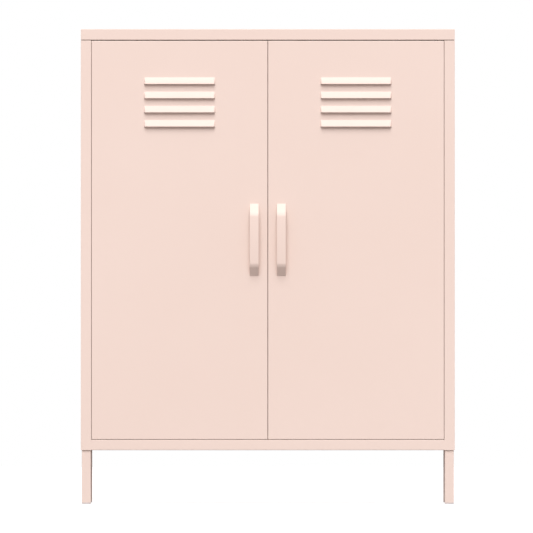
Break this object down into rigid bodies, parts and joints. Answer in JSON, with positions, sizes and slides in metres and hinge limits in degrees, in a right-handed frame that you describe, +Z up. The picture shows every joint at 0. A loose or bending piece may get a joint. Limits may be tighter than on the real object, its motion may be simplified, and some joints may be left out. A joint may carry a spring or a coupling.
{
  "type": "locker cabinet",
  "caption": "Steel locker cabinet with a pair of louvred, bow-handled doors on pivot hinges, adjustable shelves and straight square legs.",
  "frame": {"origin": "on the floor, at the middle of the outline of the whole cabinet with its handles", "axes": "+Z up, -Y out of the front with the doors, +X to the right seen from the front"},
  "size_m": [0.8, 0.42, 1.016],
  "materials": {
    "powder_coat": "satin",
    "zinc_plated_steel": "satin",
    "nylon": "matte",
    "glide_plastic": "matte",
    "catch_plastic": "matte",
    "ferrite": "matte",
    "rubber": "matte"
  },
  "bodies": {
    "cabinet": {"back_bolts": "zinc_plated_steel", "back_nuts": "zinc_plated_steel", "bottom_panel": "powder_coat", "bottom_stiffener": "powder_coat", "cap_bolts": "zinc_plated_steel", "cap_nuts": "zinc_plated_steel", "catch_magnets": "ferrite", "catch_screws": "zinc_plated_steel", "door_stop": "powder_coat", "front_left_glide": "glide_plastic", "front_left_leg": "powder_coat", "front_left_upright": "powder_coat", "front_right_glide": "glide_plastic", "front_right_leg": "powder_coat", "front_right_upright": "powder_coat", "left_back_panel": "powder_coat", "left_catch_housing": "catch_plastic", "left_side_panel": "powder_coat", "leg_bolts": "zinc_plated_steel", "leg_weld_nuts": "zinc_plated_steel", "lower_hinge_bushes": "nylon", "lower_shelf_clips": "zinc_plated_steel", "rear_left_glide": "glide_plastic", "rear_left_leg": "powder_coat", "rear_left_upright": "powder_coat", "rear_right_glide": "glide_plastic", "rear_right_leg": "powder_coat", "rear_right_upright": "powder_coat", "right_back_panel": "powder_coat", "right_catch_housing": "catch_plastic", "right_side_panel": "powder_coat", "stop_buffers": "rubber", "stop_screws": "zinc_plated_steel", "top_panel": "powder_coat", "top_stiffener": "powder_coat", "upper_hinge_bushes": "nylon", "upper_shelf_clips": "zinc_plated_steel"},
    "left_door": {"left_door_panel": "powder_coat", "left_door_stiffener": "powder_coat", "left_handle": "powder_coat", "left_handle_screws": "zinc_plated_steel", "left_upper_hinge_bracket": "powder_coat", "left_lower_hinge_bracket": "powder_coat", "left_upper_hinge_pin": "zinc_plated_steel", "left_lower_hinge_pin": "zinc_plated_steel"},
    "right_door": {"right_door_panel": "powder_coat", "right_door_stiffener": "powder_coat", "right_handle": "powder_coat", "right_handle_screws": "zinc_plated_steel", "right_upper_hinge_bracket": "powder_coat", "right_lower_hinge_bracket": "powder_coat", "right_upper_hinge_pin": "zinc_plated_steel", "right_lower_hinge_pin": "zinc_plated_steel"},
    "lower_shelf": {"lower_shelf": "powder_coat", "lower_shelf_stiffener": "powder_coat"},
    "upper_shelf": {"upper_shelf": "powder_coat", "upper_shelf_stiffener": "powder_coat"}
  },
  "joints": [
    {"name": "left_door_hinge", "type": "hinge", "parent": "cabinet", "child": "left_door", "pos_m": [-0.3607, -0.1845, 0.565], "axis": [0, 0, -1], "range_deg": [0, 110]},
    {"name": "right_door_hinge", "type": "hinge", "parent": "cabinet", "child": "right_door", "pos_m": [0.3607, -0.1845, 0.565], "axis": [0, 0, 1], "range_deg": [0, 110]},
    {"name": "lower_shelf_lift", "type": "slide", "parent": "cabinet", "child": "lower_shelf", "axis": [0, 0, 1], "range_m": [0, 0.025]},
    {"name": "upper_shelf_lift", "type": "slide", "parent": "cabinet", "child": "upper_shelf", "axis": [0, 0, 1], "range_m": [0, 0.025]}
  ]
}
